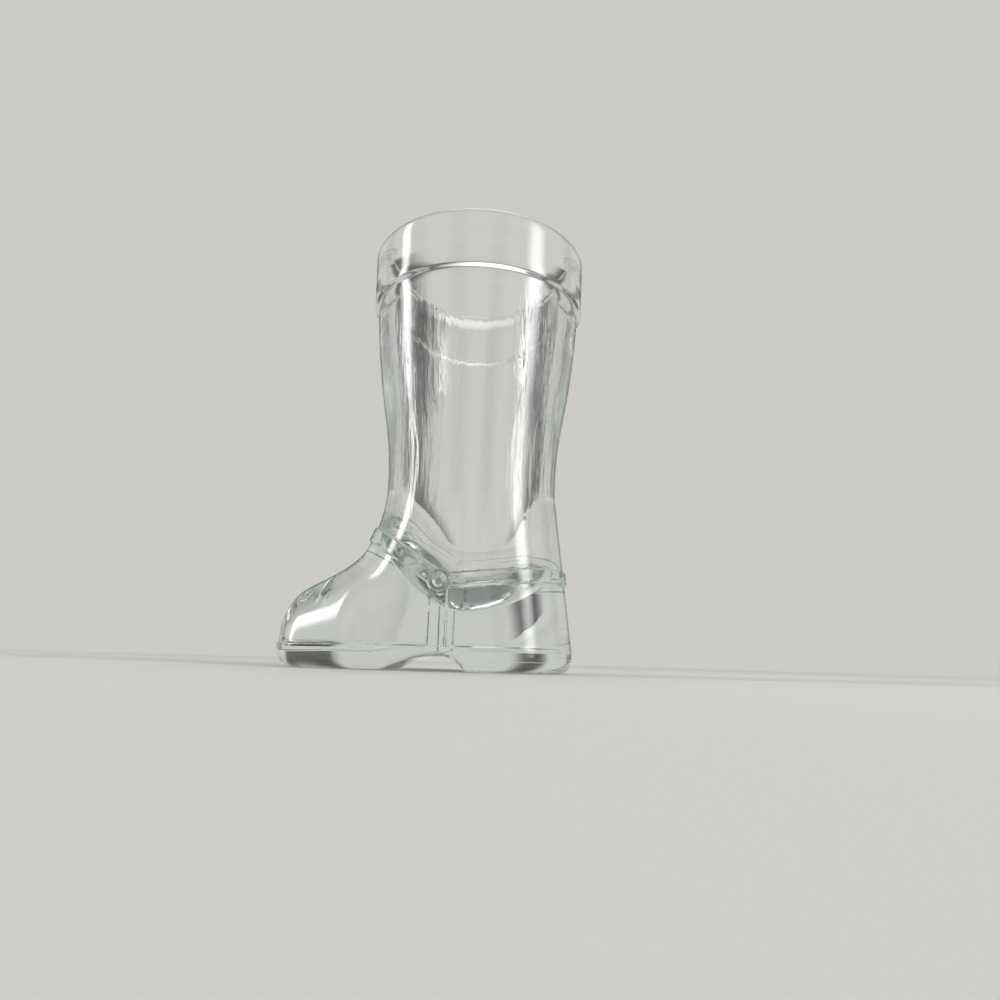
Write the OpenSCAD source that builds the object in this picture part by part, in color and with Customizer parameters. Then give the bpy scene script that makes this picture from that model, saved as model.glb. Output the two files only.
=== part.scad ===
// Boot-shaped shot glass of clear pressed glass, standing on its sole with the mouth up and the toe toward -X.
// It is worked out about the upright axis of the leg and then shifted so the middle of its base is the origin.

/* [Overall] */
// height from the table to the lip
height = 80; // [60:1:120]
// outside radius of the plain band at the mouth
cuff_r = 20.8; // [17:0.1:30]
// toe tip ahead of the leg axis
toe_reach = 32.8; // [29:0.2:46]

/* [Cuff] */
// height of the plain band round the mouth
cuff_h = 11.5; // [6:0.5:20]
// how far the band stands out from the leg below it
cuff_step = 0.7; // [0.2:0.1:1.5]
// height of the sloped lower edge of the band
cuff_edge_h = 0.8; // [0.4:0.1:3]
// narrowing of the band from the lip down to its lower edge
cuff_draft = 0.3; // [0:0.05:1]
// radius of the fire-polished lip bead
lip_r = 1.1; // [0.6:0.1:2]
// depth over which the wall thins to the lip
lip_run = 4.5; // [2:0.5:8]

/* [Leg] */
// outside radius at the narrowest place above the ankle
waist_r = 15.8; // [12:0.1:22]
// height of the narrowest place
waist_z = 33; // [28:0.5:45]
// radius of the swell under the band as a multiple of the radius of the hollow below it
swell_ratio = 2.2; // [0.8:0.1:4]
// lean of the leg where it meets the band as a share of its mean lean
top_lean_share = 0.5; // [0:0.05:0.9]

/* [Cavity] */
// height of the lowest point of the cavity above the table
floor_z = 10; // [7:0.5:20]
// thickness of the wall at the narrowest place, as wide as the round bottom of the cavity leaves it
ankle_wall = 3.7; // [2.5:0.1:5]
// thickness of the wall of the band below the lip
cuff_wall = 4.7; // [2.5:0.1:6]

/* [Foot] */
// radius of the curve from the front of the leg into the instep
instep_r = 25; // [12:1:40]
// angle through which the front of the leg bends toward the toe
instep_sweep = 48; // [44:1:60]
// angle at which the back of the ankle leans toward the heel
heel_lean = 6.7; // [3:0.1:10]
// radius of the bend from the leg into the leaning ankle
lean_r = 45; // [20:1:80]
// half width of the foot across the ball
ball_r = 15.6; // [12:0.1:20]
// slope of the top of the foot toward the toe in degrees
vamp_slope = 28.5; // [20:0.5:40]
// radius of the rounded toe
nose_r = 8; // [4:0.5:12]
// half width of the blunt tip of the toe
nose_flat = 3.4; // [1:0.1:6]

/* [Sole and heel] */
// height of the line where the foot meets the sole
welt_z = 3.8; // [2.5:0.1:6]
// how far the sole stands out past the foot
welt_lip = 0.3; // [0.1:0.05:1]
// rounding of the lower edge of the sole
sole_round = 3.1; // [1:0.1:3.5]
// rounding of the lower edge of the heel
heel_round = 2.2; // [0.5:0.1:3.5]
// heel breast behind the leg axis
breast_x = 0.4; // [-3:0.1:4]
// height of the arch between sole and heel
arch_h = 2.4; // [0.8:0.1:3]
// top of the arch ahead of the leg axis
arch_x = 3.8; // [2:0.1:8]
// radius of the long side of the arch, toward the toe
arch_long_r = 20; // [10:1:40]

/* [Harness relief] */
// how far the straps stand out from the glass
strap_t = 0.45; // [0.2:0.05:1]
// width of the strap over the instep
instep_strap_w = 2.6; // [2:0.1:5]
// fall of the strap from the instep to the side ring in degrees
strap_fall = 35; // [15:1:45]
// width of the strap round the heel
heel_strap_w = 2.3; // [1.5:0.1:4]
// rise of the strap from the side ring round to the back of the heel in degrees
heel_strap_rise = 6; // [0:0.5:12]
// width of the strap down to the arch
shank_strap_w = 2.8; // [1.5:0.1:4]
// side ring ahead of the leg axis
ring_x = 4.1; // [2:0.1:8]
// height of the side ring
ring_z = 14.3; // [9:0.1:20]
// radius of the side ring
ring_r = 2; // [1.8:0.1:4]
// thickness of the round bar of the side ring, half of which stands out from the glass
ring_bar = 1.3; // [0.8:0.1:2]

/* [Hidden] */
$fn = 120;
// the web between the two bends lies this much under their sides so the faces cross instead of touching
bite = 0.02;
// spare length and spare bend of shapes that are trimmed afterwards
spare = 2;
over_sweep = 2;
// how deep the ring is drawn into the ankle before it is trimmed to the ankle's surface
ring_root = 0.5;
glass = [0.86, 0.93, 0.90, 0.45];
glass_deep = [0.74, 0.86, 0.82, 0.6];
glass_relief = [0.92, 0.97, 0.95, 0.7];

leg_x = (toe_reach - cuff_r) / 2;
band_z = height - cuff_h;
cuff_low_r = cuff_r - cuff_draft;
leg_top_r = cuff_low_r - cuff_step;

// the leg rises upright from its narrowest place in a hollow arc and runs up to the band in a swelling one;
// both have one slope at turn_a where they meet
leg_run = band_z - waist_z;
mean_lean = atan2(leg_top_r - waist_r, leg_run);
top_lean = top_lean_share * mean_lean;
turn_a = mean_lean + acos((cos(mean_lean) + swell_ratio * cos(mean_lean - top_lean)) / (1 + swell_ratio));
hollow_r = leg_run / ((1 + swell_ratio) * sin(turn_a) - swell_ratio * sin(top_lean));
swell_r = swell_ratio * hollow_r;
turn_z = waist_z + hollow_r * sin(turn_a);
turn_r = waist_r + hollow_r * (1 - cos(turn_a));
swell_c = [turn_r - swell_r * cos(turn_a), turn_z + swell_r * sin(turn_a)];

// the cavity is a drafted cone that runs into its round bottom with one slope
dome_r = waist_r - ankle_wall;
dome_z = floor_z + dome_r;
lip_z = height - lip_r;
lip_c = cuff_r - lip_r;
flare_z = lip_z - lip_run;
flare_r = cuff_r - cuff_wall;
flare_d = norm([flare_r, flare_z - dome_z]);
bore_draft = atan2(flare_r, flare_z - dome_z) - asin(dome_r / flare_d);
cone_z = dome_z - dome_r * sin(bore_draft);
cone_r = dome_r * cos(bore_draft);

// the ankle bends forward into the instep and leans back to the heel
instep_c = instep_r + waist_r;
lean_x = lean_r * (1 - cos(heel_lean));
lean_z = waist_z - lean_r * sin(heel_lean);
heel_c = lean_x + (lean_z - welt_z) * tan(heel_lean);
column_h = (lean_z - welt_z) / cos(heel_lean) + waist_r * tan(heel_lean) + spare;

// outline of the foot from above, which is also its outline from the side
tip_a = toe_reach - welt_lip;
nose_a = tip_a - nose_r;
ball_c = ball_r - nose_r;
ball_a = nose_a - (ball_c - nose_flat) / tan(vamp_slope);
slope_dir = [cos(vamp_slope), sin(vamp_slope)];

sole_r = nose_r + welt_lip;
sole_w = ball_c + sole_r;
heel_r = waist_r / cos(heel_lean);

// region of the cavity in radius and height, up past the lip
module cavity_outline() {
    difference() {
        union() {
            intersection() {
                translate([0, dome_z]) circle(r = dome_r);
                translate([0, floor_z - spare]) square([dome_r + spare, cone_z - floor_z + spare]);
            }
            polygon([[0, cone_z], [cone_r, cone_z], [flare_r, flare_z], [lip_c - lip_r, lip_z],
                     [lip_c, lip_z], [lip_c, height + spare], [0, height + spare]]);
        }
        translate([lip_c, lip_z]) circle(r = lip_r);
    }
}

module cavity() {
    rotate_extrude() cavity_outline();
}

// outline of the band with its sloped lower edge and round lip
module cuff_outline() {
    difference() {
        union() {
            polygon([[0, band_z], [leg_top_r, band_z], [cuff_low_r, band_z + cuff_edge_h],
                     [cuff_r, lip_z], [0, lip_z]]);
            translate([lip_c, lip_z]) circle(r = lip_r);
        }
        cavity_outline();
    }
}

// outline of the leg from its narrowest place up to the band
module leg_outline() {
    difference() {
        union() {
            difference() {
                translate([0, waist_z]) square([turn_r + spare, turn_z - waist_z]);
                translate([waist_r + hollow_r, waist_z]) circle(r = hollow_r);
            }
            intersection() {
                translate([0, turn_z]) square([leg_top_r + spare, band_z - turn_z]);
                translate(swell_c) circle(r = swell_r);
            }
        }
        cavity_outline();
    }
}

// pipe that bends about a level axis, straight down at its start and toward -X at its end
module pipe_bend(bend_r, pipe_r, sweep) {
    translate([-bend_r, 0, 0])
        rotate([-90, 0, 0])
            rotate_extrude(angle = sweep)
                translate([bend_r, 0]) circle(r = pipe_r);
}

// leaning back of the ankle, with the bend that brings it upright past the narrowest place
module heel_column(pipe_r) {
    translate([lean_x, 0, lean_z])
        rotate([0, 180 - heel_lean, 0]) {
            cylinder(r = pipe_r, h = column_h);
            pipe_bend(lean_r, pipe_r, heel_lean + over_sweep);
        }
}

// side view of the space between the middle lines of the two bends
module web_outline() {
    difference() {
        translate([-instep_c, welt_z - spare]) square([instep_c + heel_c + spare, waist_z - welt_z + spare]);
        translate([-instep_c, waist_z]) circle(r = instep_c);
        translate([lean_r, waist_z]) circle(r = lean_r);
        polygon([[lean_x, lean_z], [lean_x + toe_reach, lean_z], [lean_x + toe_reach, welt_z - 2 * spare],
                 [heel_c + 2 * spare * tan(heel_lean), welt_z - 2 * spare]]);
    }
}

// round ankle that runs down to the instep and the heel, grown outward for the straps that lie on it
module ankle_form(grow) {
    translate([0, 0, waist_z]) pipe_bend(instep_c, waist_r + grow, instep_sweep);
    heel_column(waist_r + grow);
    rotate([90, 0, 0])
        linear_extrude(height = 2 * (waist_r + grow - bite), center = true) web_outline();
}

// half outline of the foot, distance from its middle line against distance ahead of the leg
module last_outline() {
    nose_c = [nose_flat, nose_a];
    ball_p = [ball_c, ball_a];
    intersection() {
        union() {
            polygon([[0, 0], [ball_r, 0], [ball_r, ball_a], ball_p + nose_r * slope_dir,
                     nose_c + nose_r * slope_dir, [nose_flat, tip_a], [0, tip_a]]);
            translate(nose_c) circle(r = nose_r);
            translate(ball_p) circle(r = nose_r);
        }
        square([ball_r + spare, tip_a + spare]);
    }
}

// part of space between two heights
module storey(low, high) {
    translate([-2 * toe_reach, -2 * toe_reach, low])
        cube([4 * toe_reach, 4 * toe_reach, high - low]);
}

// edge of the sole or heel: a block outward from the middle line with its lower corner rounded
module soft_edge(reach, rounding) {
    intersection() {
        union() {
            translate([0, rounding]) square([reach, welt_z - rounding]);
            square([reach - rounding, rounding]);
            translate([reach - rounding, rounding]) circle(r = rounding);
        }
        square([reach, welt_z]);
    }
}

module soft_disc(reach, rounding) {
    rotate_extrude() soft_edge(reach, rounding);
}

// straight run of soft edge along the line from p to q, with its outer side on the left of the way
module soft_run(p, q, reach, rounding) {
    way = q - p;
    translate([p[0], p[1], 0])
        rotate([0, 0, atan2(way[1], way[0])])
            rotate([90, 0, 90])
                linear_extrude(height = norm(way)) soft_edge(reach, rounding);
}

// length of soft edge on both sides of the middle line
module soft_bar(x0, x1, reach, rounding) {
    soft_run([x0, 0], [x1, 0], reach, rounding);
    mirror([0, 1, 0]) soft_run([x0, 0], [x1, 0], reach, rounding);
}

// hollow under the shank, long toward the toe and short toward the heel
module arch_cut() {
    arch_short_r = (arch_x + breast_x) * (arch_x + breast_x) / (2 * arch_h) + arch_h / 2;
    rotate([90, 0, 0])
        linear_extrude(height = 4 * ball_r, center = true) {
            intersection() {
                translate([-arch_x, arch_h - arch_long_r]) circle(r = arch_long_r);
                translate([-arch_x - arch_long_r, -spare]) square([arch_long_r, arch_h + spare]);
            }
            intersection() {
                translate([-arch_x, arch_h - arch_short_r]) circle(r = arch_short_r);
                translate([-arch_x, -spare]) square([arch_short_r, arch_h + spare]);
            }
        }
}

// band that follows the ankle wherever the side view given as a child reaches it, and ends against the rings
module strap() {
    difference() {
        intersection() {
            ankle_form(strap_t);
            rotate([90, 0, 0]) linear_extrude(height = 4 * ball_r, center = true) children();
        }
        ankle_form(0);
        ring_bead();
        mirror([0, 1, 0]) ring_bead();
    }
}

// side view of the space inside the middle line of the ring
module ring_eye() {
    translate([-ring_x, ring_z]) circle(r = ring_r - ring_bar / 2);
}

module instep_strap_outline() {
    difference() {
        translate([-ring_x, ring_z])
            rotate(180 - strap_fall)
                translate([0, -instep_strap_w / 2]) square([toe_reach, instep_strap_w]);
        ring_eye();
    }
}

module heel_strap_outline() {
    difference() {
        translate([-ring_x, ring_z])
            rotate(heel_strap_rise)
                translate([0, -heel_strap_w / 2]) square([toe_reach, heel_strap_w]);
        ring_eye();
    }
}

// side strap from the ring down to the sole, lying flat on the web
module shank_strap() {
    difference() {
        rotate([90, 0, 0])
            translate([0, 0, waist_r - bite])
                linear_extrude(height = strap_t)
                    difference() {
                        translate([-ring_x - shank_strap_w / 2, welt_z])
                            square([shank_strap_w, ring_z - welt_z]);
                        ring_eye();
                    }
        ring_bead();
    }
}

// half-round bead of the ring with its root inside the ankle
module ring_bead() {
    translate([-ring_x, bite - waist_r, ring_z])
        rotate([90, 0, 0])
            rotate_extrude() {
                intersection() {
                    translate([ring_r - ring_bar / 2, 0]) circle(d = ring_bar);
                    square([ring_r, ring_bar]);
                }
                translate([ring_r - ring_bar, -ring_root]) square([ring_bar, ring_root]);
            }
}

// half-round ring on which the three straps meet
module side_ring() {
    difference() {
        ring_bead();
        ankle_form(0);
    }
}

module cuff() {
    color(glass) translate([leg_x, 0, 0]) rotate_extrude() cuff_outline();
}

module leg() {
    color(glass) translate([leg_x, 0, 0]) rotate_extrude() leg_outline();
}

module foot() {
    color(glass_deep) translate([leg_x, 0, 0])
        difference() {
            intersection() {
                union() {
                    ankle_form(0);
                    translate([0, 0, welt_z]) rotate([0, -90, 0]) rotate_extrude() last_outline();
                }
                storey(welt_z, waist_z);
            }
            cavity();
        }
}

module sole() {
    toe_p = [-nose_a, nose_flat];
    ball_p = [-ball_a, ball_c];
    flip = [[1, 0], [0, -1]];
    color(glass_deep) translate([leg_x, 0, 0])
        difference() {
            union() {
                linear_extrude(height = welt_z) polygon([toe_p, ball_p, flip * ball_p, flip * toe_p]);
                for (side = [0, 1])
                    mirror([0, side, 0]) {
                        translate([toe_p[0], toe_p[1], 0]) soft_disc(sole_r, sole_round);
                        translate([ball_p[0], ball_p[1], 0]) soft_disc(sole_r, sole_round);
                        soft_run(toe_p, ball_p, sole_r, sole_round);
                    }
                soft_run(flip * toe_p, toe_p, sole_r, sole_round);
                soft_bar(-ball_a, breast_x, sole_w, sole_round);
            }
            arch_cut();
        }
}

module heel() {
    color(glass_deep) translate([leg_x, 0, 0])
        difference() {
            union() {
                translate([heel_c, 0, 0]) soft_disc(heel_r, heel_round);
                soft_bar(breast_x, heel_c, heel_r, heel_round);
            }
            translate([breast_x - 2 * heel_r, -2 * heel_r, -spare]) cube([2 * heel_r, 4 * heel_r, welt_z + 2 * spare]);
        }
}

module instep_strap() {
    color(glass_relief) translate([leg_x, 0, 0]) strap() instep_strap_outline();
}

module heel_strap() {
    color(glass_relief) translate([leg_x, 0, 0]) strap() heel_strap_outline();
}

module shank_strap_left() {
    color(glass_relief) translate([leg_x, 0, 0]) shank_strap();
}

module shank_strap_right() {
    color(glass_relief) translate([leg_x, 0, 0]) mirror([0, 1, 0]) shank_strap();
}

module ring_left() {
    color(glass_relief) translate([leg_x, 0, 0]) side_ring();
}

module ring_right() {
    color(glass_relief) translate([leg_x, 0, 0]) mirror([0, 1, 0]) side_ring();
}

cuff();
leg();
foot();
sole();
heel();
instep_strap();
heel_strap();
shank_strap_left();
shank_strap_right();
ring_left();
ring_right();
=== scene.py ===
"""Boot shot glass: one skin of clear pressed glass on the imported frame, with its stage and camera.

The skin is spun as a plain tumbler, and the foot is then drawn out of the tumbler's lower wall.
Lengths are in metres in the part's frame: +Z up through the mouth, -X toward the toe.
"""
import math
from typing import NamedTuple

import bmesh
import bpy
import numpy as np
from bpy.props import FloatProperty, FloatVectorProperty, IntProperty, PointerProperty
from mathutils import Matrix, Vector, noise


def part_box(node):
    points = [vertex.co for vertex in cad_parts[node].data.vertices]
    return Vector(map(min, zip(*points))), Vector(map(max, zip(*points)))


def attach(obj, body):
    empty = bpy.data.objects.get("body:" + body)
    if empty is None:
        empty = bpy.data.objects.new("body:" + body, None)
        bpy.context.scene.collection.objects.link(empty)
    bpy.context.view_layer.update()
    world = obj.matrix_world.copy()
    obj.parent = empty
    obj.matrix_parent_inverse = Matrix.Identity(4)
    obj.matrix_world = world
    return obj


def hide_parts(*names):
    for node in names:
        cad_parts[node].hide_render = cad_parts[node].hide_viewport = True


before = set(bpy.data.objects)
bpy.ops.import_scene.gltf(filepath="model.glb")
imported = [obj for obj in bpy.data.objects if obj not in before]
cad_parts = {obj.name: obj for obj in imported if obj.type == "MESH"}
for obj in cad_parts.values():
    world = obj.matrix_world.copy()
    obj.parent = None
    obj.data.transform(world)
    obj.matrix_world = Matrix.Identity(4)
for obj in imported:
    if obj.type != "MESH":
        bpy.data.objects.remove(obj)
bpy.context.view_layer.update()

bl_info = {
    "name": "Boot Shot Glass",
    "version": (1, 0, 0),
    "blender": (4, 5, 0),
    "location": "View3D > Sidebar > Boot Glass",
    "description": "Spins a boot-shaped shot glass of clear pressed glass and sets its stage",
    "category": "Add Mesh",
}

MM = 0.001
TINY = 1e-6
SKIN_NAME = "boot_glass_skin"
OUTSIDE = "outside"
PHOTO_SIDE = 1000
SENSOR_WIDTH = 36.0
NEAREST_SEEN = 1 * MM

CUFF_LOW, CUFF_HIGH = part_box("cuff")
LEG_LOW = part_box("leg")[0]
FOOT_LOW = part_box("foot")[0]
SOLE_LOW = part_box("sole")[0]
RING_LOW, RING_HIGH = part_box("ring_left")
LEG_X = (CUFF_LOW.x + CUFF_HIGH.x) / 2

# rows of points along the tumbler's outline, from the cavity's floor over the lip to the middle of the base
DOME_ROWS = 25
CONE_ROWS = 19
FLARE_ROWS = 6
LIP_ROWS = 12
BAND_ROWS = 7
BAND_EDGE_ROWS = 8
LEG_ROWS = 33
ANKLE_ROWS = 11
HARNESS_ROWS = 57
VAMP_ROWS = 21
WELT_ROWS = 4
SOLE_ROWS = 14
BASE_ROWS = 22
# the close rows for the harness lie from this far under the narrowest place to this far under the ring
HARNESS_UNDER_WAIST = 6 * MM
HARNESS_UNDER_RING = 3 * MM
# a face is cut finer when its corners differ by the height of a strap over this
EDGE_DIVISOR = 10
# the crease's fillet keeps the softness of the welt over this where it ends
FILLET_DIVISOR = 10
# halvings of the search for the foot's wall
HALVINGS = 40
# height of the ripples on the leg over those in the cavity
LEG_RIPPLE_SHARE = 0.4

# the streaks fade in over this height below the narrowest place and out over this height below the band
STREAK_RISE = 12 * MM
STREAK_FALL = 8 * MM
# the dimples start this far over the narrowest place and are full this far under it
DIMPLE_ABOVE = 4 * MM
DIMPLE_BELOW = 6 * MM
# values of the pattern from which a speck or mark starts and at which it is full
SCUFF_CUT = (0.45, 0.7)
FILM_CUT = (0.5, 0.75)

FLOOR_RADIUS = 4.0
FLOOR_CORNERS = 96
FLOOR_DROP = 0.05 * MM
FLOOR_ROUGHNESS = 0.9
# wave round the room from the middle of a gap to the edge of a panel
PANEL_EDGE = (-1.0, 0.1)
# upward share of the way to the ceiling at which it starts and is full
CEILING_EDGE = (0.5, 0.85)
LAMP_AIM = Vector((0, 0, 0.04))
# middle of a soft box in its own measure, and how far from it the light ends and is full
BOX_MIDDLE = (0.5, 0.5, 0.0)
BOX_FADE = (0.5, 0.1)


class SoftBox(NamedTuple):
    """A soft lamp: its place and size in metres, its power in watts and whether it shows through the glass."""

    name: str
    place: tuple
    size: tuple
    power: float
    seen_through: bool


SOFT_BOXES = (
    SoftBox("left_box", (-0.46, -0.06, 0.20), (0.14, 0.60), 2.4, False),
    SoftBox("right_box", (0.43, -0.22, 0.20), (0.24, 0.60), 3.6, False),
    SoftBox("top_box", (0.05, 0.10, 0.60), (0.60, 0.60), 2.4, True),
)


def length_prop(label, text, size):
    """A length that the panel shows, in metres."""
    return FloatProperty(name=label, description=text, default=size, unit="LENGTH", precision=5, min=0.0)


def angle_prop(label, text, degrees):
    """An angle that the panel shows, kept in radians."""
    return FloatProperty(name=label, description=text, default=math.radians(degrees), subtype="ANGLE")


def share_prop(label, text, share):
    """A plain number that the panel shows."""
    return FloatProperty(name=label, description=text, default=share, min=0.0)


def count_prop(label, text, count, least):
    """A whole number that the panel shows."""
    return IntProperty(name=label, description=text, default=count, min=least)


def colour_prop(label, text, hex_code):
    """A colour that the panel shows, kept as linear light."""
    return FloatVectorProperty(
        name=label, description=text, default=linear(hex_code), subtype="COLOR", size=3, min=0.0, max=1.0)


def linear(hex_code):
    """Linear light of an sRGB hex colour."""
    shares = [int(hex_code[i:i + 2], 16) / 255 for i in (1, 3, 5)]
    return tuple(s / 12.92 if s <= 0.04045 else ((s + 0.055) / 1.055) ** 2.4 for s in shares)


class BootGlassForm(bpy.types.PropertyGroup):
    """Sizes of the leg, the cavity and the foot, about the upright axis of the leg."""

    height: length_prop("Height", "From the table to the lip", CUFF_HIGH.z)
    cuff_r: length_prop(
        "Cuff radius", "Outside radius of the band at the mouth", (CUFF_HIGH.y - CUFF_LOW.y) / 2)
    cuff_z: length_prop("Cuff edge", "Height of the lower edge of the band", CUFF_LOW.z)
    cuff_step: length_prop("Cuff step", "How far the band stands out from the leg", 0.7 * MM)
    cuff_edge_h: length_prop("Cuff edge height", "Height of the sloped lower edge of the band", 0.8 * MM)
    cuff_draft: length_prop("Cuff draft", "Narrowing of the band down to its lower edge", 0.3 * MM)
    lip_r: length_prop("Lip radius", "Radius of the fire-polished lip", 1.1 * MM)
    lip_run: length_prop("Lip run", "Depth over which the wall thins to the lip", 4.5 * MM)
    waist_r: length_prop("Waist radius", "Outside radius at the narrowest place", 15.8 * MM)
    waist_z: length_prop("Waist height", "Height of the narrowest place", LEG_LOW.z)
    swell_ratio: share_prop(
        "Swell ratio", "Radius of the swell under the band over that of the hollow below", 2.2)
    top_lean_share: share_prop("Top lean", "Lean of the leg at the band over its mean lean", 0.5)
    floor_z: length_prop("Cavity floor", "Lowest point of the cavity above the table", 10 * MM)
    ankle_wall: length_prop(
        "Ankle wall", "Radius of the narrowest place less that of the cavity's round bottom", 3.7 * MM)
    cuff_wall: length_prop("Cuff wall", "Thickness of the wall of the band below the lip", 4.7 * MM)
    instep_r: length_prop("Instep radius", "Curve from the front of the leg into the instep", 25 * MM)
    instep_sweep: angle_prop("Instep sweep", "Bend of the front of the leg toward the toe", 48)
    heel_lean: angle_prop("Heel lean", "Lean of the back of the ankle", 6.7)
    lean_r: length_prop("Lean radius", "Bend from the leg into the leaning ankle", 45 * MM)
    ball_r: length_prop("Ball half width", "Half width of the foot across the ball", 15.6 * MM)
    vamp_slope: angle_prop("Vamp slope", "Slope of the top of the foot toward the toe", 28.5)
    nose_r: length_prop("Nose radius", "Radius of the rounded toe", 8 * MM)
    nose_flat: length_prop("Nose flat", "Half width of the blunt tip of the toe", 3.4 * MM)
    toe_reach: length_prop("Toe reach", "Toe tip ahead of the leg axis", LEG_X - SOLE_LOW.x)
    crease_r: length_prop("Crease fillet", "Reach of the soft fillet between ankle and vamp", 1.8 * MM)
    welt_z: length_prop("Welt height", "Height of the line between foot and sole", FOOT_LOW.z)
    welt_lip: length_prop("Welt lip", "How far the sole stands out past the foot", 0.3 * MM)
    welt_soft: length_prop("Welt softness", "Height over which the sole runs into the foot", 0.35 * MM)
    sole_round: length_prop("Sole rounding", "Rounding of the lower edge of the sole", 3.1 * MM)
    heel_round: length_prop("Heel rounding", "Rounding of the lower edge of the heel", 2.2 * MM)
    breast_x: length_prop("Heel breast", "Heel breast behind the leg axis", 0.4 * MM)
    arch_h: length_prop("Arch height", "Height of the arch between sole and heel", 2.4 * MM)
    arch_x: length_prop("Arch top", "Top of the arch ahead of the leg axis", 3.8 * MM)
    arch_long_r: length_prop("Arch radius", "Long side of the arch, toward the toe", 20 * MM)
    arch_soft: length_prop("Arch softness", "Soft run of the arch into the flat sole", 0.5 * MM)
    centre_shift: length_prop("Foot centre", "Middle of the sole ahead of the leg axis", 7 * MM)
    ripple: length_prop("Ripple", "Height of the soft ripple that the plunger leaves in the cavity", 0.05 * MM)
    ripple_w: length_prop("Ripple width", "Width of one ripple round the leg", 6 * MM)
    ripple_h: length_prop("Ripple length", "Length of one ripple up the leg", 45 * MM)
    turns: count_prop("Turns", "Steps of the spin round the leg axis", 300, 24)
    fine_cuts: count_prop("Fine cuts", "Cuts in each face on an edge of the harness", 2, 0)


class BootGlassHarness(bpy.types.PropertyGroup):
    """Sizes of the raised straps and rings on the ankle, in the side view."""

    strap_t: length_prop("Strap height", "How far the straps stand out", 0.45 * MM)
    instep_strap_w: length_prop("Instep strap", "Width of the strap over the instep", 2.6 * MM)
    strap_fall: angle_prop("Strap fall", "Fall of the instep strap to the ring", 35)
    heel_strap_w: length_prop("Heel strap", "Width of the strap round the heel", 2.3 * MM)
    heel_strap_rise: angle_prop("Heel strap rise", "Rise of the heel strap from the ring to the back", 6)
    shank_strap_w: length_prop("Shank strap", "Width of the strap down to the arch", 2.8 * MM)
    ring_x: length_prop("Ring place", "Ring ahead of the leg axis", LEG_X - (RING_LOW.x + RING_HIGH.x) / 2)
    ring_z: length_prop("Ring height", "Height of the ring", (RING_LOW.z + RING_HIGH.z) / 2)
    ring_r: length_prop("Ring radius", "Outside radius of the ring", (RING_HIGH.x - RING_LOW.x) / 2)
    ring_bar: length_prop("Ring bar", "Thickness of the round bar of the ring", 1.3 * MM)
    edge_soft: length_prop("Edge softness", "Half width of the soft edge of a strap", 0.1 * MM)


class BootGlassFinish(bpy.types.PropertyGroup):
    """Looks of the glass."""

    tint: colour_prop("Tint", "Colour that thick glass keeps", "#c9ece0")
    tint_density: share_prop("Tint density", "Absorption per metre", 6.0)
    ior: FloatProperty(name="IOR", description="Index of soda-lime glass", default=1.52, min=1.0)
    streak_w: length_prop("Streak width", "Width of the fine streaks up the leg", 0.9 * MM)
    streak_h: length_prop("Streak length", "Length of the fine streaks up the leg", 12 * MM)
    streak_depth: length_prop("Streak depth", "Depth of the fine streaks", 0.08 * MM)
    peel_w: length_prop("Peel width", "Width of the soft dimples that the mould leaves on the foot", 3.2 * MM)
    peel_depth: length_prop("Peel depth", "Depth of those dimples", 0.012 * MM)
    seam_w: length_prop("Seam width", "Half width of the mould's parting line", 0.3 * MM)
    seam_depth: length_prop("Seam height", "Height of the mould's parting line", 0.02 * MM)
    scuff_w: length_prop("Scuff width", "Width of the rubbed specks under the sole", 0.5 * MM)
    scuff_z: length_prop("Scuff height", "Height over the table up to which the sole is rubbed", 0.7 * MM)
    scuff_rough: share_prop("Scuff roughness", "Roughness of the rubbed specks", 0.38)
    film_w: length_prop("Film width", "Width of the faint marks of handling", 9 * MM)
    film_rough: share_prop("Film roughness", "Roughness of the faint marks of handling", 0.035)


class BootGlassStage(bpy.types.PropertyGroup):
    """Floor, light and camera."""

    floor_colour: colour_prop("Floor", "Pale matt floor", "#e1e0dd")
    backdrop_colour: colour_prop("Backdrop", "Pale backdrop", "#cbcac7")
    floor_near: length_prop("Floor near", "Distance at which the floor starts to run into the backdrop", 0.12)
    floor_far: length_prop("Floor far", "Distance at which the floor has run into the backdrop", 0.5)
    panels: count_prop("Panels", "Bright panels round the room", 8, 1)
    gap_light: share_prop("Gap light", "Light of the gaps between the panels", 0.14)
    ceiling_light: share_prop("Ceiling light", "Light of the ceiling over the panels", 0.45)
    bounces: count_prop("Bounces", "Times that light may turn inside the glass", 32, 1)
    camera_x: length_prop("Camera right", "Camera to the heel side of the leg axis", 5.4 * MM)
    camera_away: length_prop("Camera distance", "Camera in front of the leg axis", 127.9 * MM)
    camera_z: length_prop("Camera height", "Camera above the floor", 2 * MM)
    camera_pitch: angle_prop("Camera pitch", "Camera tilted up", 13.06)
    camera_roll: angle_prop("Camera roll", "Picture turned clockwise", 1.64)
    focal_px: FloatProperty(
        name="Focal length", description="In pixels of the picture", default=691.4, min=1.0)


def smooth_step(low, high, value):
    """0 below low, 1 above high and a smooth run between; low may lie above high."""
    share = np.clip((value - low) / (high - low), 0.0, 1.0)
    return share * share * (3 - 2 * share)


def smooth_min(first, second, reach):
    """The smaller of two gaps, with a soft fillet where they are within reach of each other."""
    share = np.clip(0.5 + 0.5 * (second - first) / reach, 0.0, 1.0)
    return second + (first - second) * share - reach * share * (1 - share)


def line_gap(px, py, start, end):
    """Distance of points from the straight line between start and end."""
    way = np.subtract(end, start)
    along = np.clip(((px - start[0]) * way[0] + (py - start[1]) * way[1]) / (way @ way), 0.0, 1.0)
    return np.hypot(px - start[0] - along * way[0], py - start[1] - along * way[1])


def stretch(start, end, rows):
    """Even rows from start toward end, without end itself."""
    return np.linspace(start, end, rows, endpoint=False)


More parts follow.
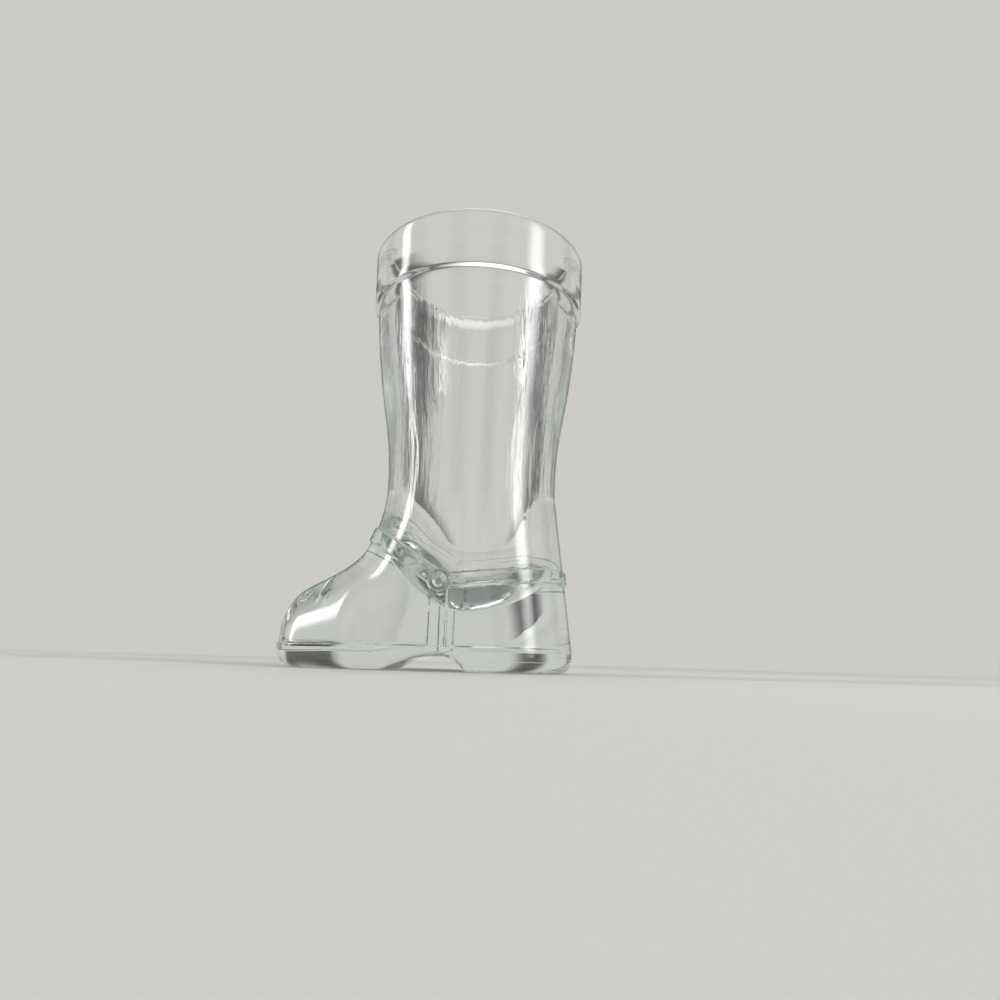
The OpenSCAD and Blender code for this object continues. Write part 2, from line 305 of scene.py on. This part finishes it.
class BootShape:
    """Outline of the boot worked out from its sizes, about the leg axis."""

    def __init__(self, form, harness):
        self.form = form
        self.harness = harness
        self.cuff_low_r = form.cuff_r - form.cuff_draft
        self.leg_top_r = self.cuff_low_r - form.cuff_step
        self.set_leg(form)
        self.lip_z = form.height - form.lip_r
        self.lip_c = form.cuff_r - form.lip_r
        self.dome_r = form.waist_r - form.ankle_wall
        self.dome_z = form.floor_z + self.dome_r
        flare = Vector((form.cuff_r - form.cuff_wall, self.lip_z - form.lip_run - self.dome_z))
        self.bore_draft = math.atan2(flare.x, flare.y) - math.asin(self.dome_r / flare.length)
        self.cone_z = self.dome_z - self.dome_r * math.sin(self.bore_draft)
        self.cone_r = self.dome_r * math.cos(self.bore_draft)
        self.instep_c = form.instep_r + form.waist_r
        self.lean_x = form.lean_r * (1 - math.cos(form.heel_lean))
        self.lean_z = form.waist_z - form.lean_r * math.sin(form.heel_lean)
        self.heel_c = self.lean_x + (self.lean_z - form.welt_z) * math.tan(form.heel_lean)
        self.heel_r = form.waist_r / math.cos(form.heel_lean)
        self.nose_a = form.toe_reach - form.welt_lip - form.nose_r
        self.ball_c = form.ball_r - form.nose_r
        self.ball_a = self.nose_a - (self.ball_c - form.nose_flat) / math.tan(form.vamp_slope)

    def set_leg(self, form):
        """Hollow arc up from the narrowest place and swelling arc up to the band, with one slope at the turn."""
        ratio = form.swell_ratio
        run = form.cuff_z - form.waist_z
        mean_lean = math.atan2(self.leg_top_r - form.waist_r, run)
        top_lean = form.top_lean_share * mean_lean
        turn_a = mean_lean + math.acos(
            (math.cos(mean_lean) + ratio * math.cos(mean_lean - top_lean)) / (1 + ratio))
        self.hollow_r = run / ((1 + ratio) * math.sin(turn_a) - ratio * math.sin(top_lean))
        self.swell_r = ratio * self.hollow_r
        self.turn_z = form.waist_z + self.hollow_r * math.sin(turn_a)
        turn_r = form.waist_r + self.hollow_r * (1 - math.cos(turn_a))
        inward = Vector((-math.cos(turn_a), math.sin(turn_a)))
        self.swell_c = Vector((turn_r, self.turn_z)) + self.swell_r * inward

    def leg_radius(self, z):
        """Outside radius of the leg and cuff at a height."""
        form = self.form
        if z <= self.turn_z:
            return form.waist_r + self.hollow_r - math.sqrt(self.hollow_r ** 2 - (z - form.waist_z) ** 2)
        swell_up = min(z, form.cuff_z) - self.swell_c.y
        swell = self.swell_c.x + math.sqrt(self.swell_r ** 2 - swell_up ** 2)
        band = form.cuff_r - form.cuff_draft * (self.lip_z - z) / (self.lip_z - form.cuff_z)
        return swell + (band - swell) * float(smooth_step(form.cuff_z, form.cuff_z + form.cuff_edge_h, z))

    def bore_radius(self, z):
        """Radius of the cavity wall at a height above its round bottom."""
        cone = self.cone_r + (z - self.cone_z) * math.tan(self.bore_draft)
        low, high = self.lip_z - self.form.lip_run, self.lip_z + self.form.lip_run / 2
        flare = float(smooth_step(low, high, z))
        edge = float(smooth_step(low, high, self.lip_z))
        return cone + (self.lip_c - self.form.lip_r - cone) * flare / edge

    def relief(self, x, z):
        """How far the harness stands out at a place of the side view."""
        harness = self.harness
        ahead = x + harness.ring_x
        above = z - harness.ring_z
        soft = harness.edge_soft

        def band(offset, width):
            return smooth_step(width / 2 + soft, width / 2 - soft, np.abs(offset))

        cos_f, sin_f = math.cos(harness.strap_fall), math.sin(harness.strap_fall)
        cos_r, sin_r = math.cos(harness.heel_strap_rise), math.sin(harness.heel_strap_rise)
        instep = band(ahead * sin_f + above * cos_f, harness.instep_strap_w) * (above * sin_f > ahead * cos_f)
        heel = band(above * cos_r - ahead * sin_r, harness.heel_strap_w) * (ahead * cos_r + above * sin_r > 0)
        shank = band(ahead, harness.shank_strap_w) * (above < 0)
        from_ring = np.hypot(ahead, above)
        middle_r = harness.ring_r - harness.ring_bar / 2
        outside = smooth_step(middle_r - soft, middle_r + soft, from_ring)
        straps = harness.strap_t * np.maximum(np.maximum(instep, heel), shank) * outside
        bead = np.sqrt(np.maximum((harness.ring_bar / 2) ** 2 - (from_ring - middle_r) ** 2, 0.0))
        return np.maximum(straps, bead)

    def ankle_gap(self, x, y, z):
        """Gap to the round ankle that bends forward to the instep and leans back to the heel."""
        form = self.form
        front = self.instep_c - np.hypot(x + self.instep_c, z - form.waist_z)
        lean = (x - self.lean_x - (self.lean_z - z) * math.tan(form.heel_lean)) * math.cos(form.heel_lean)
        bend = form.lean_r - np.hypot(x - form.lean_r, z - form.waist_z)
        back = np.where(z < self.lean_z, lean, bend)
        side_view = np.maximum(np.maximum(front, back), 0.0)
        past_bend = ((form.waist_z - z) * math.cos(form.instep_sweep)
                     - (x + self.instep_c) * math.sin(form.instep_sweep))
        return np.maximum(np.hypot(side_view, y) - form.waist_r - self.relief(x, z), past_bend)

    def last_gap(self, across, ahead, radius):
        """Gap to the outline of the foot, which is the same from above and from the side."""
        ball = (self.ball_c, self.ball_a)
        nose = (self.form.nose_flat, self.nose_a)
        side = line_gap(across, ahead, (self.ball_c, -self.form.toe_reach), ball)
        slope = line_gap(across, ahead, ball, nose)
        tip = line_gap(across, ahead, nose, (0.0, self.nose_a))
        nearest = np.minimum(np.minimum(side, slope), tip)
        way = np.subtract(nose, ball)
        off_slope = (across - ball[0]) * way[1] - (ahead - ball[1]) * way[0]
        inside = (across < self.ball_c) & (ahead < self.nose_a) & (off_slope < 0)
        return np.where(inside, -nearest, nearest) - radius

    def foot_gap(self, x, y, z):
        """Gap to the outside of the foot above the welt and of the sole below it."""
        form = self.form
        vamp = np.maximum(self.last_gap(np.hypot(y, z - form.welt_z), -x, form.nose_r), x)
        fillet = (form.crease_r * smooth_step(form.welt_z, self.harness.ring_z, z)
                  + form.welt_soft / FILLET_DIVISOR)
        upper = smooth_min(self.ankle_gap(x, y, z), vamp, fillet)
        sole = self.last_gap(np.abs(y), -x, form.nose_r + form.welt_lip)
        heel = np.hypot(np.maximum(x - self.heel_c, 0.0), y) - self.heel_r
        sole = np.where(x > form.breast_x, heel, sole)
        rounding = np.where(x > form.breast_x, form.heel_round, form.sole_round)
        drop = np.clip(rounding - z, 0.0, rounding)
        sole = sole + rounding - np.sqrt(rounding ** 2 - drop ** 2)
        share = smooth_step(form.welt_z + form.welt_soft, form.welt_z, z)
        return upper * (1 - share) + sole * share

    def arch_lift(self, x):
        """Height of the arch over the table."""
        form = self.form
        run = form.arch_x + form.breast_x
        short_r = run * run / (2 * form.arch_h) + form.arch_h / 2
        radius = np.where(x < -form.arch_x, form.arch_long_r, short_r)
        side = np.clip(x + form.arch_x, -radius, radius)
        rise = form.arch_h - radius + np.sqrt(radius ** 2 - side ** 2)
        return np.maximum(-smooth_min(-rise, np.zeros_like(rise), form.arch_soft), 0.0)

    def wall_place(self, angle, z):
        """Place of the foot's wall in the direction of each angle at each height."""
        form = self.form
        share = smooth_step(form.waist_z, form.welt_z, z)
        middle = -form.centre_shift * share
        low = np.full_like(angle, form.lip_r)
        high = np.full_like(angle, 2 * form.toe_reach)
        for _ in range(HALVINGS):
            reach = (low + high) / 2
            outside = self.foot_gap(middle + reach * np.cos(angle), reach * np.sin(angle), z) > 0
            high = np.where(outside, reach, high)
            low = np.where(outside, low, reach)
        return middle, middle + reach * np.cos(angle), reach * np.sin(angle)


def tumbler_outline(shape):
    """Half outline of the plain tumbler as radius and height, from the cavity's floor over the lip to the base."""
    form = shape.form
    points = []
    for angle in stretch(-math.pi / 2, -shape.bore_draft, DOME_ROWS):
        points.append((shape.dome_r * math.cos(angle), shape.dome_z + shape.dome_r * math.sin(angle)))
    points[0] = (0.0, form.floor_z)
    flare_z = shape.lip_z - form.lip_run
    heights = np.concatenate([
        stretch(shape.cone_z, flare_z, CONE_ROWS),
        stretch(flare_z, shape.lip_z, FLARE_ROWS)])
    points += [(shape.bore_radius(z), z) for z in heights]
    for angle in stretch(math.pi, 0.0, LIP_ROWS):
        points.append((shape.lip_c + form.lip_r * math.cos(angle), shape.lip_z + form.lip_r * math.sin(angle)))
    band_edge = form.cuff_z + form.cuff_edge_h
    heights = np.concatenate([
        stretch(shape.lip_z, band_edge, BAND_ROWS),
        stretch(band_edge, form.cuff_z, BAND_EDGE_ROWS),
        stretch(form.cuff_z, form.waist_z, LEG_ROWS)])
    points += [(shape.leg_radius(z), z) for z in heights]
    harness_top = form.waist_z - HARNESS_UNDER_WAIST
    harness_low = shape.harness.ring_z - HARNESS_UNDER_RING
    welt_top = form.welt_z + form.welt_soft
    heights = np.concatenate([
        stretch(form.waist_z, harness_top, ANKLE_ROWS),
        stretch(harness_top, harness_low, HARNESS_ROWS),
        stretch(harness_low, welt_top, VAMP_ROWS),
        stretch(welt_top, form.welt_z, WELT_ROWS),
        form.welt_z * (1 - np.sin(np.linspace(0.0, math.pi / 2, SOLE_ROWS)))])
    points += [(form.waist_r, max(z, 0.0)) for z in heights]
    points += [(radius, 0.0) for radius in np.linspace(form.waist_r, 0.0, BASE_ROWS)[1:]]
    return points


def spin_tumbler(shape):
    """A closed bmesh of the tumbler, spun about the leg axis."""
    bm = bmesh.new()
    chain = [bm.verts.new((radius, 0.0, z)) for radius, z in tumbler_outline(shape)]
    edges = [bm.edges.new(pair) for pair in zip(chain, chain[1:])]
    bmesh.ops.spin(
        bm, geom=chain + edges, cent=(0, 0, 0), axis=(0, 0, 1), angle=2 * math.pi,
        steps=shape.form.turns, use_merge=True)
    bmesh.ops.remove_doubles(bm, verts=bm.verts, dist=TINY)
    bmesh.ops.recalc_face_normals(bm, faces=bm.faces)
    bm.verts.index_update()
    return bm


def drawn_places(bm, shape):
    """Places of the tumbler's points once its lower wall and base are drawn out, and which are the wall's."""
    form = shape.form
    place = np.array([vert.co for vert in bm.verts])
    radius = np.hypot(place[:, 0], place[:, 1])
    angle = np.arctan2(place[:, 1], place[:, 0])
    base = place[:, 2] < TINY
    wall = (radius > form.waist_r - form.ankle_wall / 2) & (place[:, 2] < form.waist_z - TINY)
    lower = base | wall
    middle, x, y = shape.wall_place(angle[lower], place[lower, 2])
    share = np.where(base[lower], radius[lower] / form.waist_r, 1.0)
    x = middle + (x - middle) * share
    z = place[lower, 2]
    z = z + shape.arch_lift(x) * np.clip(1 - z / form.welt_z, 0.0, 1.0)
    place[lower] = np.stack([x, y * share, z], 1)
    return place, wall


def refine_harness(bm, shape):
    """Cuts finer faces into the tumbler's wall where an edge of the harness will cross it."""
    place, wall = drawn_places(bm, shape)
    stand = np.where(wall, shape.relief(place[:, 0], place[:, 2]), 0.0)
    least = shape.harness.strap_t / EDGE_DIVISOR
    crossed = set()
    for face in bm.faces:
        heights = [stand[vert.index] for vert in face.verts]
        if max(heights) - min(heights) > least and face.calc_center_median().z > shape.form.welt_z:
            crossed.update(face.edges)
    bmesh.ops.subdivide_edges(bm, edges=list(crossed), cuts=shape.form.fine_cuts, use_grid_fill=True)
    bm.verts.index_update()


def leave_ripples(bm, shape):
    """Draws long soft ripples into the cavity's wall and fainter ones into the leg, and marks the outside."""
    form = shape.form
    outside = bm.verts.layers.float.new(OUTSIDE)
    for vert in bm.verts:
        radius = math.hypot(vert.co.x, vert.co.y)
        z = vert.co.z
        bore = shape.bore_radius(max(z, shape.cone_z))
        on_outside = z < form.floor_z or radius > bore + form.lip_r
        vert[outside] = float(on_outside)
        if on_outside:
            low, high, share = form.waist_z, form.cuff_z, LEG_RIPPLE_SHARE
        else:
            low, high, share = shape.dome_z, shape.lip_z - form.lip_run, 1.0
        if low < z < high:
            fade = float(smooth_step(low, low + form.ripple_w, z) * smooth_step(high, high - form.ripple_w, z))
            around = vert.co.xy / form.ripple_w
            wave = noise.noise(Vector((around.x, around.y, z / form.ripple_h)))
            height = form.ripple * share
            vert.co.xy *= 1 + fade * height * wave / radius


def draw_out_foot(bm, shape):
    """Moves the tumbler's lower wall and base out to the foot, sole, heel and harness."""
    place, _ = drawn_places(bm, shape)
    for vert, moved in zip(bm.verts, place):
        vert.co = moved


def add_node(tree, kind, settings=(), links=()):
    """Adds a node with its settings, socket values and the links that lead into it."""
    node = tree.nodes.new(kind)
    for name, value in dict(settings).items():
        if isinstance(name, str) and hasattr(node, name):
            setattr(node, name, value)
        else:
            node.inputs[name].default_value = value
    for name, source in dict(links).items():
        tree.links.new(source, node.inputs[name])
    return node


def pressed_glass(finish):
    """Soda-lime glass, pressed in a two-part mould and fire-polished.

    The eye gets clear glass with a green cast where it is thick, fine streaks up the leg, soft dimples on the
    foot, the line where the mould parts, faint marks of handling and a rubbed sole.
    """
    material = bpy.data.materials.new("pressed_soda_lime_glass")
    material.use_nodes = True
    tree = material.node_tree
    tree.nodes.clear()
    place = add_node(tree, "ShaderNodeTexCoord").outputs["Object"]
    parts = add_node(tree, "ShaderNodeSeparateXYZ", links={0: place})
    up = parts.outputs["Z"]
    across = add_node(tree, "ShaderNodeMath", {"operation": "ABSOLUTE"}, {0: parts.outputs["Y"]}).outputs[0]
    outside = add_node(tree, "ShaderNodeAttribute", {"attribute_name": OUTSIDE}).outputs["Fac"]

    # uneven patterns, each as wide and as long as its marks on the glass
    patterns = {}
    for name, width, length, detail in (
            ("streaks", finish.streak_w, finish.streak_h, 3.0),
            ("dimples", finish.peel_w, finish.peel_w, 1.0),
            ("specks", finish.scuff_w, finish.scuff_w, 3.0),
            ("film", finish.film_w, finish.film_w, 4.0)):
        scale = (1 / width, 1 / width, 1 / length)
        scaled = add_node(tree, "ShaderNodeMapping", {"Scale": scale}, {"Vector": place})
        pattern = add_node(tree, "ShaderNodeTexNoise", {"Scale": 1.0, "Detail": detail}, {
            "Vector": scaled.outputs[0]})
        patterns[name] = pattern.outputs["Fac"]

    # where each mark starts and where it is full
    fades = {}
    for name, value, start, full in (
            ("above_ankle", up, LEG_LOW.z - STREAK_RISE, LEG_LOW.z),
            ("under_band", up, CUFF_LOW.z, CUFF_LOW.z - STREAK_FALL),
            ("on_foot", up, LEG_LOW.z + DIMPLE_ABOVE, LEG_LOW.z - DIMPLE_BELOW),
            ("seam", across, finish.seam_w, 0.0),
            ("on_sole", up, finish.scuff_z, 0.0),
            ("specks", patterns["specks"], *SCUFF_CUT),
            ("film", patterns["film"], *FILM_CUT)):
        fade = add_node(tree, "ShaderNodeMapRange", {
            "interpolation_type": "SMOOTHSTEP", "From Min": start, "From Max": full}, {"Value": value})
        fades[name] = fade.outputs[0]

    # streaks run up the leg from the ankle to the band, dimples lie on the foot, the mould parts along the
    # middle of toe, leg and heel, and the sole is rubbed; all of them are on the outside alone
    marks = {}
    for name, factors in (
            ("streaks", (patterns["streaks"], fades["above_ankle"], fades["under_band"])),
            ("dimples", (patterns["dimples"], fades["on_foot"])),
            ("seam", (fades["seam"],)),
            ("scuffs", (fades["specks"], fades["on_sole"]))):
        marks[name] = outside
        for factor in factors:
            product = add_node(tree, "ShaderNodeMath", {"operation": "MULTIPLY"}, {0: marks[name], 1: factor})
            marks[name] = product.outputs[0]

    normal = {}
    for name, depth in (
            ("streaks", finish.streak_depth), ("dimples", finish.peel_depth), ("seam", finish.seam_depth)):
        bump = add_node(tree, "ShaderNodeBump", {"Distance": depth}, {"Height": marks[name], **normal})
        normal = {"Normal": bump.outputs[0]}

    scuffs = add_node(tree, "ShaderNodeMath", {"operation": "MULTIPLY", 1: finish.scuff_rough}, {
        0: marks["scuffs"]})
    rough = add_node(tree, "ShaderNodeMath", {"operation": "MULTIPLY_ADD", 1: finish.film_rough}, {
        0: fades["film"], 2: scuffs.outputs[0]})
    shader = add_node(tree, "ShaderNodeBsdfPrincipled", {
        "Base Color": (1, 1, 1, 1), "IOR": finish.ior, "Transmission Weight": 1.0}, {
        "Roughness": rough.outputs[0], **normal})
    volume = add_node(tree, "ShaderNodeVolumeAbsorption", {
        "Color": (*finish.tint, 1), "Density": finish.tint_density})
    add_node(tree, "ShaderNodeOutputMaterial", links={
        "Surface": shader.outputs[0], "Volume": volume.outputs[0]})
    return material


def matt_floor(stage):
    """Matt painted board: plain and pale, and run into the backdrop away from the glass."""
    material = bpy.data.materials.new("matt_painted_board")
    material.use_nodes = True
    tree = material.node_tree
    tree.nodes.clear()
    place = add_node(tree, "ShaderNodeTexCoord").outputs["Object"]
    away = add_node(tree, "ShaderNodeVectorMath", {"operation": "LENGTH"}, {0: place}).outputs["Value"]
    share = add_node(tree, "ShaderNodeMapRange", {
        "interpolation_type": "SMOOTHSTEP", "From Min": stage.floor_near, "From Max": stage.floor_far}, {
        "Value": away})
    board = add_node(tree, "ShaderNodeBsdfPrincipled", {
        "Base Color": (*stage.floor_colour, 1), "Roughness": FLOOR_ROUGHNESS, "Specular IOR Level": 0.0})
    glow = add_node(tree, "ShaderNodeEmission", {"Color": (*stage.backdrop_colour, 1), "Strength": 1.0})
    run = add_node(tree, "ShaderNodeMixShader", links={
        0: share.outputs[0], 1: board.outputs[0], 2: glow.outputs[0]})
    add_node(tree, "ShaderNodeOutputMaterial", links={"Surface": run.outputs[0]})
    return material


class BOOT_GLASS_OT_skin(bpy.types.Operator):
    """Spins the glass and draws its foot out"""

    bl_idname = "boot_glass.skin"
    bl_label = "Press the Glass"

    def execute(self, context):
        settings = context.scene.boot_glass
        shape = BootShape(settings.form, settings.harness)
        bm = spin_tumbler(shape)
        refine_harness(bm, shape)
        leave_ripples(bm, shape)
        draw_out_foot(bm, shape)
        bmesh.ops.translate(bm, verts=bm.verts, vec=(LEG_X, 0, 0))
        for face in bm.faces:
            face.smooth = True
        mesh = bpy.data.meshes.new(SKIN_NAME)
        bm.to_mesh(mesh)
        bm.free()
        skin = bpy.data.objects.new(SKIN_NAME, mesh)
        context.scene.collection.objects.link(skin)
        mesh.materials.append(pressed_glass(settings.finish))
        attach(skin, "root")
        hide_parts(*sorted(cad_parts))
        return {"FINISHED"}


class BOOT_GLASS_OT_stage(bpy.types.Operator):
    """Makes the floor, the light and the camera"""

    bl_idname = "boot_glass.stage"
    bl_label = "Set the Stage"

    def execute(self, context):
        stage = context.scene.boot_glass.stage
        self.make_floor(context, stage)
        self.make_world(context, stage)
        self.make_lamps(context)
        self.make_camera(context, stage)
        context.scene.view_settings.view_transform = "Standard"
        # light turns many times inside the thick wall before it leaves it
        for kind in ("max_bounces", "transmission_bounces", "glossy_bounces"):
            setattr(context.scene.cycles, kind, stage.bounces)
        return {"FINISHED"}

    def make_floor(self, context, stage):
        """A wide round board just under the sole."""
        bm = bmesh.new()
        bmesh.ops.create_circle(bm, cap_ends=True, segments=FLOOR_CORNERS, radius=FLOOR_RADIUS)
        bmesh.ops.translate(bm, verts=bm.verts, vec=(0, 0, -FLOOR_DROP))
        mesh = bpy.data.meshes.new("floor")
        bm.to_mesh(mesh)
        bm.free()
        floor = bpy.data.objects.new("floor", mesh)
        context.scene.collection.objects.link(floor)
        mesh.materials.append(matt_floor(stage))

    def make_world(self, context, stage):
        """A room of pale panels with dim gaps and a dim ceiling; the camera sees a plain backdrop."""
        world = bpy.data.worlds.new("soft_room")
        context.scene.world = world
        world.use_nodes = True
        tree = world.node_tree
        tree.nodes.clear()
        way = add_node(tree, "ShaderNodeTexCoord").outputs["Generated"]
        parts = add_node(tree, "ShaderNodeSeparateXYZ", links={0: way})
        turn = add_node(tree, "ShaderNodeMath", {"operation": "ARCTAN2"}, {
            0: parts.outputs["Y"], 1: parts.outputs["X"]})
        turns = add_node(tree, "ShaderNodeMath", {"operation": "MULTIPLY", 1: stage.panels}, {
            0: turn.outputs[0]})
        wave = add_node(tree, "ShaderNodeMath", {"operation": "COSINE"}, {0: turns.outputs[0]})
        panel = add_node(tree, "ShaderNodeMapRange", {
            "interpolation_type": "SMOOTHSTEP", "From Min": PANEL_EDGE[0], "From Max": PANEL_EDGE[1],
            "To Min": stage.gap_light}, {"Value": wave.outputs[0]})
        ceiling = add_node(tree, "ShaderNodeMapRange", {
            "interpolation_type": "SMOOTHSTEP", "From Min": CEILING_EDGE[0], "From Max": CEILING_EDGE[1],
            "To Min": 1.0, "To Max": stage.ceiling_light}, {"Value": parts.outputs["Z"]})
        light = add_node(tree, "ShaderNodeMath", {"operation": "MULTIPLY"}, {
            0: panel.outputs[0], 1: ceiling.outputs[0]})
        colour = (*stage.backdrop_colour, 1)
        room = add_node(tree, "ShaderNodeBackground", {"Color": colour}, {"Strength": light.outputs[0]})
        backdrop = add_node(tree, "ShaderNodeBackground", {"Color": colour, "Strength": 1.0})
        eye = add_node(tree, "ShaderNodeLightPath").outputs["Is Camera Ray"]
        both = add_node(tree, "ShaderNodeMixShader", links={
            0: eye, 1: room.outputs[0], 2: backdrop.outputs[0]})
        add_node(tree, "ShaderNodeOutputWorld", links={"Surface": both.outputs[0]})

    def make_lamps(self, context):
        """Soft boxes with a bright middle, so that their mirror images on the glass have no hard edge.

        The boxes at the sides show as mirror images only, and through the glass the eye sees the room.
        """
        for box in SOFT_BOXES:
            data = bpy.data.lights.new(box.name, "AREA")
            data.shape = "ELLIPSE"
            data.size, data.size_y = box.size
            data.energy = box.power
            data.use_nodes = True
            tree = data.node_tree
            tree.nodes.clear()
            spot = add_node(tree, "ShaderNodeNewGeometry").outputs["Parametric"]
            off = add_node(tree, "ShaderNodeVectorMath", {"operation": "DISTANCE", 1: BOX_MIDDLE}, {0: spot})
            fade = add_node(tree, "ShaderNodeMapRange", {
                "interpolation_type": "SMOOTHSTEP", "From Min": BOX_FADE[0], "From Max": BOX_FADE[1]}, {
                "Value": off.outputs["Value"]})
            glow = add_node(tree, "ShaderNodeEmission", links={"Strength": fade.outputs[0]})
            add_node(tree, "ShaderNodeOutputLight", links={"Surface": glow.outputs[0]})
            lamp = bpy.data.objects.new(box.name, data)
            lamp.location = box.place
            lamp.rotation_euler = (LAMP_AIM - Vector(box.place)).to_track_quat("-Z", "Y").to_euler()
            lamp.visible_camera = False
            lamp.visible_transmission = box.seen_through
            context.scene.collection.objects.link(lamp)

    def make_camera(self, context, stage):
        """A camera just above the floor that looks up at the glass."""
        data = bpy.data.cameras.new("camera")
        data.sensor_width = SENSOR_WIDTH
        data.lens = stage.focal_px * SENSOR_WIDTH / PHOTO_SIDE
        data.clip_start = NEAREST_SEEN
        camera = bpy.data.objects.new("camera", data)
        tilt = Matrix.Rotation(math.pi / 2 + stage.camera_pitch, 4, "X")
        turn = tilt @ Matrix.Rotation(stage.camera_roll, 4, "Z")
        place = (LEG_X + stage.camera_x, -stage.camera_away, stage.camera_z)
        camera.matrix_world = Matrix.Translation(place) @ turn
        context.scene.collection.objects.link(camera)
        context.scene.camera = camera


class BootGlassSettings(bpy.types.PropertyGroup):
    """Everything that the panel shows."""

    form: PointerProperty(type=BootGlassForm)
    harness: PointerProperty(type=BootGlassHarness)
    finish: PointerProperty(type=BootGlassFinish)
    stage: PointerProperty(type=BootGlassStage)


class BOOT_GLASS_PT_panel(bpy.types.Panel):
    """Sizes, looks and steps of the boot glass"""

    bl_idname = "BOOT_GLASS_PT_panel"
    bl_label = "Boot Glass"
    bl_space_type = "VIEW_3D"
    bl_region_type = "UI"
    bl_category = "Boot Glass"

    def draw(self, context):
        settings = context.scene.boot_glass
        for group in (settings.form, settings.harness, settings.finish, settings.stage):
            box = self.layout.box()
            for name in group.__annotations__:
                box.prop(group, name)
        for operator in STEPS:
            self.layout.operator(operator.bl_idname)


STEPS = (BOOT_GLASS_OT_skin, BOOT_GLASS_OT_stage)
CLASSES = (
    BootGlassForm, BootGlassHarness, BootGlassFinish, BootGlassStage, BootGlassSettings, *STEPS,
    BOOT_GLASS_PT_panel)


def register():
    for cls in CLASSES:
        bpy.utils.register_class(cls)
    bpy.types.Scene.boot_glass = PointerProperty(type=BootGlassSettings)


def unregister():
    del bpy.types.Scene.boot_glass
    for cls in reversed(CLASSES):
        bpy.utils.unregister_class(cls)


def main():
    register()
    bpy.ops.boot_glass.skin()
    bpy.ops.boot_glass.stage()


if __name__ == "__main__":
    main()
